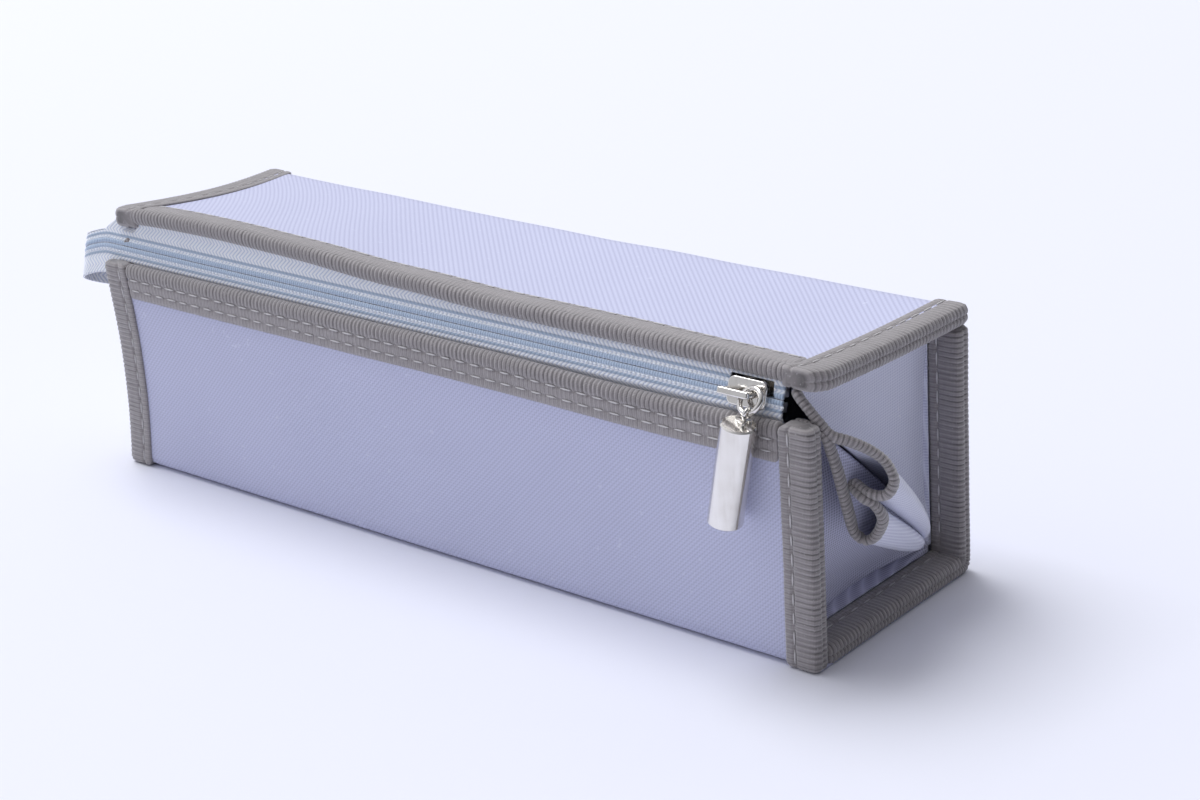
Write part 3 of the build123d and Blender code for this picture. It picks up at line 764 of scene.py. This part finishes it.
def hingeLines():
    front, back, round_ = body["frontY"] + thick, body["backY"], seams["hingeRound"]
    turn = np.linspace(0, math.pi / 2, 14)[1:-1]
    bottom = alongLine([(front, 0.0), (back - round_, 0.0)])
    arc = np.stack([back - round_ + round_ * np.sin(turn), round_ - round_ * np.cos(turn)], -1)
    up = alongLine([(back, round_), (back, body["lidBackZ"] - thick - 0.05)])
    outer = np.concatenate([bottom, arc, up])
    inner = np.stack([np.minimum(outer[:, 0], back - thick), np.maximum(outer[:, 1], thick)], -1)
    inner[len(bottom):len(bottom) + len(arc)] = (back - thick, thick)
    return outer, inner


def sagHinge(p):
    return np.where(p[..., 1:2] > 0, sagUpper(p), p)


hingeOuter, hingeInner = hingeLines()
lidLong = (body["backY"] - body["lidFrontY"]) / math.cos(lidTilt)
for side, label in ((1, "right"), (-1, "left")):
    frontOuter = alongLine([(body["frontY"], 0.0), (body["frontY"], body["frontTop"])])
    seamPiece(label + "FrontSeam", side, frontOuter, frontOuter + (thick, 0), sagLower, "lower_half",
              (label + "_front_seam_binding",))
    seamPiece(label + "HingeSeam", side, hingeOuter, hingeInner, sagHinge, hingeBend,
              (label + "_bottom_seam_binding", label + "_back_seam_binding"))
    lidOuter = alongLine(lidLine([(0.1, 0.0), (lidLong, 0.0)]))
    lidInner = alongLine(lidLine([(0.1, -thick), (lidLong, -thick)]))
    seamPiece(label + "LidSeam", side, lidOuter, lidInner, sagUpper, "upper_half",
              (label + "_lid_seam_binding",), seams["lidTuck"])
print("seams ready")


# stitches along the bindings

stitches = {"pitch": 4.0, "length": 2.9, "thread": 0.36, "uneven": 0.14}


def straightRow(space, place, reach=2.0):
    xs = np.linspace(reach - body["rimX"], body["rimX"] - reach, 400)
    return np.concatenate([space(x, np.array([place])) for x in xs])


rowsFor = {
    "lower_half": [sagLower(straightRow(frontSpace, (0.02, -3.3))), sagLower(straightRow(frontSpace, (-0.02, -5.8)))],
    "upper_half": [sagUpper(straightRow(lidSpace, (7.0, -0.1)))]}
for seed, where in enumerate(("lower_half", "upper_half")):
    rows = rowsFor[where] + [row for row in seamStitches[where] if len(row) > 3]
    piece = lines(where.split("_")[0] + "Stitches", rows)
    runTree(piece, stitchTree, Pitch=stitches["pitch"] * mm, Length=stitches["length"] * mm,
            Thread=stitches["thread"] * mm, Uneven=stitches["uneven"], Seed=11 + seed, Material=paint["thread"])
    finishPiece(piece, None, where)
print("stitches ready")


# folding ends, with their bound free edges

folds = {
    "apex": (92.9, 21.8, 6.2), "netThick": 0.35, "bulge": 0.5, "round": 0.5, "tip": 0.13, "lobesAt": (-17.0, 34.0),
    "hollow": 3.5, "turnStep": 0.7, "reachSteps": 46, "tapeHalf": 1.75, "tapeThick": 0.95, "ribPitch": 0.95,
    "ribDepth": 0.00014, "rise": 0.075, "cutWide": 0.052,
    "lowEdge": [
        (93.5, -22.9, 49.5), (97.0, -23.0, 49.4), (99.6, -22.8, 47.7), (100.1, -22.0, 44.9), (100.8, -21.0, 40.2),
        (101.2, -19.5, 34.0), (101.6, -17.5, 27.2), (102.8, -16.0, 24.6)],
    "highEdge": [
        (102.8, -16.0, 24.6), (104.8, -15.2, 25.6), (106.9, -15.5, 29.7), (106.4, -17.0, 33.3), (104.6, -18.3, 35.0),
        (101.9, -17.4, 36.2), (102.2, -17.0, 36.9), (105.6, -17.6, 35.9), (108.6, -16.5, 35.9), (109.8, -15.5, 38.6),
        (108.5, -15.8, 42.1), (106.2, -17.5, 44.8), (103.5, -20.0, 46.9), (100.7, -22.0, 48.2), (98.5, -22.8, 50.5),
        (95.0, -23.5, 54.5), (93.5, -22.9, 55.5)]}
apex = np.array(folds["apex"])
lobeWay = unit(np.array(folds["lobesAt"]) - apex[1:])
lobeSide = np.array([lobeWay[1], -lobeWay[0]])


def fanOf(boundary, dish, soft):  # soft is 1 where the net is drawn into a round lobe
    steps = np.linspace(0.015, 1, folds["reachSteps"])
    reach = boundary - apex
    onward, aside = reach[:, 1:] @ lobeWay, reach[:, 1:] @ lobeSide
    power = 1 - (1 - folds["round"]) * soft
    begin = (folds["tip"] * soft)[:, None]
    opened = 0.03 * steps + 0.97 * np.clip((steps - begin) / (1 - begin), 0, 1)
    spread = opened ** power[:, None]
    grid = np.empty((len(reach), len(steps), 3))
    grid[..., 0] = apex[0] + reach[:, None, 0] * opened ** folds["bulge"]
    grid[..., 0] -= folds["hollow"] * np.sin(np.pi * steps)[None, :] * dish[:, None]
    grid[..., 1:] = apex[1:] + (onward[:, None] * steps)[..., None] * lobeWay \
        + (aside[:, None] * spread)[..., None] * lobeSide
    length = np.linalg.norm(reach, axis=1)
    turn = np.concatenate([[0], np.cumsum(2 * np.arcsin(np.diff(arcLengths(unit(reach))) / 2))])
    uv = (length[:, None] * steps)[..., None] * np.stack([np.cos(turn), np.sin(turn)], -1)[:, None]
    return grid, uv


def edgeTape(name, edge, side, where, seed):
    tangent = unit(np.gradient(edge, axis=0))
    radial = apex - edge
    radial = unit(radial - (radial * tangent).sum(1, keepdims=True) * tangent)
    kernel = np.hanning(9) / np.hanning(9).sum()
    radial = unit(np.stack([np.convolve(np.pad(r, 4, mode="edge"), kernel, "valid") for r in radial.T], -1))
    normal = np.cross(tangent, radial)
    around = np.linspace(0, 2 * math.pi, 20, endpoint=False)
    rings = edge[:, None, :] + folds["tapeHalf"] * (np.cos(around)[None, :, None] + 0.55) * radial[:, None, :] \
        + folds["tapeThick"] * np.sin(around)[None, :, None] * normal[:, None, :]
    rings[..., 0] *= side
    piece = sweptTube(name, rings, arcLengths(edge), np.ones(len(around)))
    runTree(piece, ribTree, Pitch=folds["ribPitch"], Depth=folds["ribDepth"], Seed=seed, Material=paint["tape"])
    finishPiece(piece, None, where)


def eased(start, end, like):
    return ease(np.linspace(start, end, len(like)))


lowEdge, highEdge = smoothPath(folds["lowEdge"], 150), smoothPath(folds["highEdge"], 330)
seamAt = body["seamX"] + 0.2
bottom, front, lid, back = (
    alongLine([(seamAt, *start), (seamAt, *end)], folds["turnStep"])
    for start, end in (((22.0, 4.6), (-22.6, 4.6)), ((-23.0, 5.0), (-23.0, 48.5)),
                       ((-22.8, 55.6), (22.6, 53.8)), ((23.0, 53.0), (23.0, 6.0))))
away = highEdge[0] - apex
gradient = np.array([0.0, folds["rise"] * away[2] / -away[1], folds["rise"]])
lowFree, highFree = lowEdge[::2], highEdge[::2]
lowDish = [eased(0, 2, bottom), 1 - 1.9 * eased(-0.1, 1.3, front), -0.9 * eased(1, 0, lowFree)]
lowSoft = [np.zeros(len(bottom) + len(front)), eased(0, 1.3, lowFree)]
highDish = [np.zeros(len(highFree)), 0.35 * eased(0, 2, lid), 0.35 * eased(2, 0, back)]
highSoft = [eased(4.5, 0, highFree), np.zeros(len(lid) + len(back))]
for side, label in ((1, "right"), (-1, "left")):
    start = apex * (side, 1, 1)
    highBend = (Vector(start * mm), Vector((start + gradient / np.dot(gradient, gradient)) * mm))
    for part, rim, dent, soft, bend, node in (
            ("Lower", [bottom, front, lowFree], lowDish, lowSoft, "lower_half", "lower"),
            ("Upper", [highFree, lid, back], highDish, highSoft, highBend, "upper")):
        grid, uv = fanOf(*(np.concatenate(pieces) for pieces in (rim, dent, soft)))
        grid[..., 0] *= side
        piece = clothShell(label + "Gusset" + part, grid, folds["netThick"], uv)
        kind = "front" if part == "Lower" else "lid"
        # the upper net takes the brighter copy of the net colours, painted light
        finishPiece(piece, paint["gusset" if part == "Lower" else "paintedBacklitNet"], bend,
                    (f"{label}_gusset_{node}", f"{label}_{kind}_gusset_fold", f"{label}_{kind}_fold_binding"))
    edgeTape(label + "LowEdge", lowEdge, side, "lower_half", 3.0 + side)
    edgeTape(label + "HighEdge", highEdge, side, highBend, 8.0 + side)
print("folding ends ready")


# zipper

zipper = {
    "chainY": -24.05, "chainZ": 53.75, "lean": 17.0, "slot": 0.12, "reach": 3.2, "tapeThick": 0.45, "tapeWide": 12.0,
    "tailTo": -107.5, "curl": 6.0, "curlBack": 6.0, "tailHalf": 7.0, "tailDroop": 3.6, "tailFrom": 188.0,
    "notchFrom": 79.0, "notchTo": 89.3, "notchUp": 3.1,
    "dotAt": 1.36, "dotPitch": 1.1, "dotLong": 0.85, "dotWide": 0.46,
    "coilAt": 0.72, "coilIn": 0.75, "coilPitch": 1.27, "coilFrom": -89.7, "coilTo": 89.2, "coilLast": 182.0,
    "loop": 0.62, "strand": 0.24,
    "lidRows": ((1.6, -3.3), (7.5, -3.6), (2.0, -4.9), (7.5, -5.2)),
    "frontRows": ((-24.2, 48.9), (-24.05, 44.5), (-22.9, 49.2), (-22.7, 45.5))}
lean = math.radians(zipper["lean"])
upWay = np.array([0, math.sin(lean), math.cos(lean)])
outWay = np.array([0, -math.cos(lean), math.sin(lean)])
chain = np.array([0, zipper["chainY"], zipper["chainZ"]])


def alongTape():  # distances from the right end, with the tail's turn at the left
    straight = body["rimX"] - zipper["tailTo"]
    total = straight + math.pi * zipper["curl"] + zipper["curlBack"]
    places = np.arange(0, total, 0.5)
    x = body["rimX"] - places
    turn = np.clip((places - straight) / zipper["curl"], 0, math.pi)
    past = np.maximum(0, places - straight - math.pi * zipper["curl"])
    x = np.where(places > straight, zipper["tailTo"] - zipper["curl"] * np.sin(turn) + past, x)
    return places, x, zipper["curl"] * (1 - np.cos(turn))


places, tapeX, tapeIn = alongTape()


def relief(distance):  # the coil and a cord show through the tape
    return 0.30 * np.exp(-((distance - 0.66) / 0.36) ** 2) + 0.16 * np.exp(-((distance - 2.2) / 0.22) ** 2)


def tapePoint(sign, distance, lift=0.0):  # a row beside the chain
    base = chain + sign * np.asarray(distance)[..., None] * upWay + lift * outWay
    grid = np.broadcast_to(base, (len(places), 3)).copy()
    turn = np.clip(tapeIn / zipper["curl"], 0, 2)
    grid = grid - tapeIn[:, None] * outWay - lift * turn[:, None] * outWay
    grid[:, 0] = tapeX
    grid[:, 2] -= zipper["tailDroop"] * ease((-tapeX - 100) / 16) + 0.18 * tapeIn
    return grid


def tapeHalf(sign):
    low = np.full(len(places), zipper["slot"])
    if sign > 0:
        inNotch = (tapeX > zipper["notchFrom"]) & (tapeX < zipper["notchTo"])
        low = np.where(inNotch, zipper["notchUp"], low)
    first, second = tapePoint(sign, low), tapePoint(sign, zipper["reach"])
    free = np.where(places < zipper["tailFrom"], ease((-tapeX - 100.6) / 4), 1.0)[:, None]
    behind = ease((-tapeX - 91.4) / 1.2)[:, None]
    if sign > 0:
        third, fourth, *tucked = (sagUpper(lidPoint(tapeX, *spot)) for spot in zipper["lidRows"])
    else:
        third, fourth, *tucked = (
            sagLower(np.stack(np.broadcast_arrays(tapeX, *spot), -1)) for spot in zipper["frontRows"])
    third, fourth = third + (tucked[0] - third) * behind, fourth + (tucked[1] - fourth) * behind
    wide = zipper["tailHalf"] - zipper["reach"] - (4.6 * ease((-tapeX - 96) / 9)[:, None] if sign > 0 else 0)
    third = third * (1 - free) + (second + sign * 0.45 * wide * upWay) * free
    fourth = fourth * (1 - free) + (second + sign * wide * upWay) * free
    grid, across, run = [], [], low
    for start, end, count in ((first, second, 18), (second, third, 10), (third, fourth, 6)):
        size = np.linalg.norm(end - start, axis=1)
        for t in np.linspace(0, 1, count, endpoint=False):
            grid.append(start + (end - start) * t)
            across.append(run + size * t)
        run = run + size
    grid.append(fourth)
    across.append(run)
    grid, across = np.stack(grid, 1), np.stack(across, 1)
    grid = grid + relief(across)[..., None] * outWay * (1 - np.clip(tapeIn / zipper["curl"], 0, 2))[:, None, None]
    uv = np.stack([np.broadcast_to(places[:, None], across.shape), sign * across], -1)
    return grid, uv


for sign, where, label in ((-1, "lower_half", "front"), (1, "upper_half", "lid")):
    grid, uv = tapeHalf(sign)
    piece = clothShell(label + "Tape", grid, zipper["tapeThick"], uv)
    finishPiece(piece, paint["zip"], where, (label + "_zip_tape", label + "_zip_tail"))
    row = tapePoint(sign, zipper["dotAt"], zipper["tapeThick"] / 2 + 0.02)
    piece = lines(label + "Dots", [row[tapeX < zipper["notchFrom"]] if sign > 0 else row])
    runTree(piece, stitchTree, Pitch=zipper["dotPitch"] * mm, Length=zipper["dotLong"] * mm,
            Thread=zipper["dotWide"] * mm, Uneven=0.1, Seed=21 + sign, Material=paint["dots"])
    finishPiece(piece, None, where)
    coilTo = zipper["notchFrom" if sign > 0 else "coilTo"]
    within = (tapeX > zipper["coilFrom"]) & (tapeX < coilTo) & (places < zipper["coilLast"])
    piece = lines(label + "Coil", [tapePoint(sign, zipper["coilAt"], -zipper["coilIn"])[within]])
    runTree(piece, coilTree, Pitch=zipper["coilPitch"] * mm, Loop=zipper["loop"] * mm, Wire=zipper["strand"] * mm,
            Flat=0.8, Material=paint["coil"])
    finishPiece(piece, None, where, (label + "_zip_coil",))
for look, nodes in (("chrome", ("slider_body", "slider_bridge", "pull_ring", "pendant_eye", "pendant_body")),
                    ("alloy", ("front_zip_top_stop", "lid_zip_top_stop", "zip_bottom_stop"))):
    for node in nodes:
        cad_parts[node].data.materials.clear()
        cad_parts[node].data.materials.append(paint[look])
print("zipper ready")


# floor, light and camera

stage = {"floor": 6.0, "floorPaint": (0.835, 0.84, 0.92), "sky": (0.915, 0.93, 1.0), "skyLean": (-0.45, 0.05, 0.36),
         "skyEven": 0.34, "skyLeast": 0.02, "keyPower": 130.0, "keySize": 2.6, "keyAt": (-1.8, 0.3, 3.9)}
floorMesh = bpy.data.meshes.new("floor")
half = stage["floor"] / 2
floorMesh.from_pydata([(-half, -half, 0), (half, -half, 0), (half, half, 0), (-half, half, 0)], [], [(0, 1, 2, 3)])
floor = addObject("floor", floorMesh)
floor.location.z = -0.00005
floorMaterial, floorTree, floorSurface = newMaterial("paper", 0.7)
floorSurface["Base Color"].default_value = (*stage["floorPaint"], 1)
floorSurface["Specular IOR Level"].default_value = 0.15
floorMesh.materials.append(floorMaterial)

world = bpy.data.worlds.new("paleRoom")
scene.world = world
world.use_nodes = True
room = world.node_tree
sky = room.nodes["Background"].inputs
sky[0].default_value = (*stage["sky"], 1)
around = room.nodes.new("ShaderNodeTexCoord").outputs["Generated"]
way = addNode(room, "ShaderNodeVectorMath", {0: around, 1: stage["skyLean"]}, operation="DOT_PRODUCT")
share = plus(room, way.outputs["Value"], stage["skyEven"])  # brighter towards the window side
feed(room, sky[1], mathNode(room, "MAXIMUM", share, stage["skyLeast"]))


key = bpy.data.lights.new("key", "AREA")
key.size, key.energy, key.color = stage["keySize"], stage["keyPower"], (0.95, 0.97, 1.0)
lamp = addObject("key", key)
lamp.location = stage["keyAt"]
lamp.rotation_euler = (Vector((0, 0, 0.03)) - Vector(stage["keyAt"])).to_track_quat("-Z", "Y").to_euler()
scene.view_settings.view_transform = "Standard"

viewing = {"place": (0.348148, -0.370928, 0.226537), "turn": 41.0, "rise": 21.6, "roll": -3.8, "lens": 75.0}
turn, rise, roll = (math.radians(viewing[k]) for k in ("turn", "rise", "roll"))
behind = Vector((math.sin(turn) * math.cos(rise), -math.cos(turn) * math.cos(rise), math.sin(rise)))
right = (-behind).cross(Vector((0, 0, 1))).normalized()
up = right.cross(-behind).normalized()
right, up = math.cos(roll) * right + math.sin(roll) * up, -math.sin(roll) * right + math.cos(roll) * up
lens = bpy.data.cameras.new("camera")
lens.lens = viewing["lens"]
lens.sensor_width = 36.0
lens.clip_start = 0.01
camera = addObject("camera", lens)
camera.matrix_world = Matrix.Translation(viewing["place"]) @ Matrix((right, up, behind)).transposed().to_4x4()
scene.camera = camera
print("stage ready")
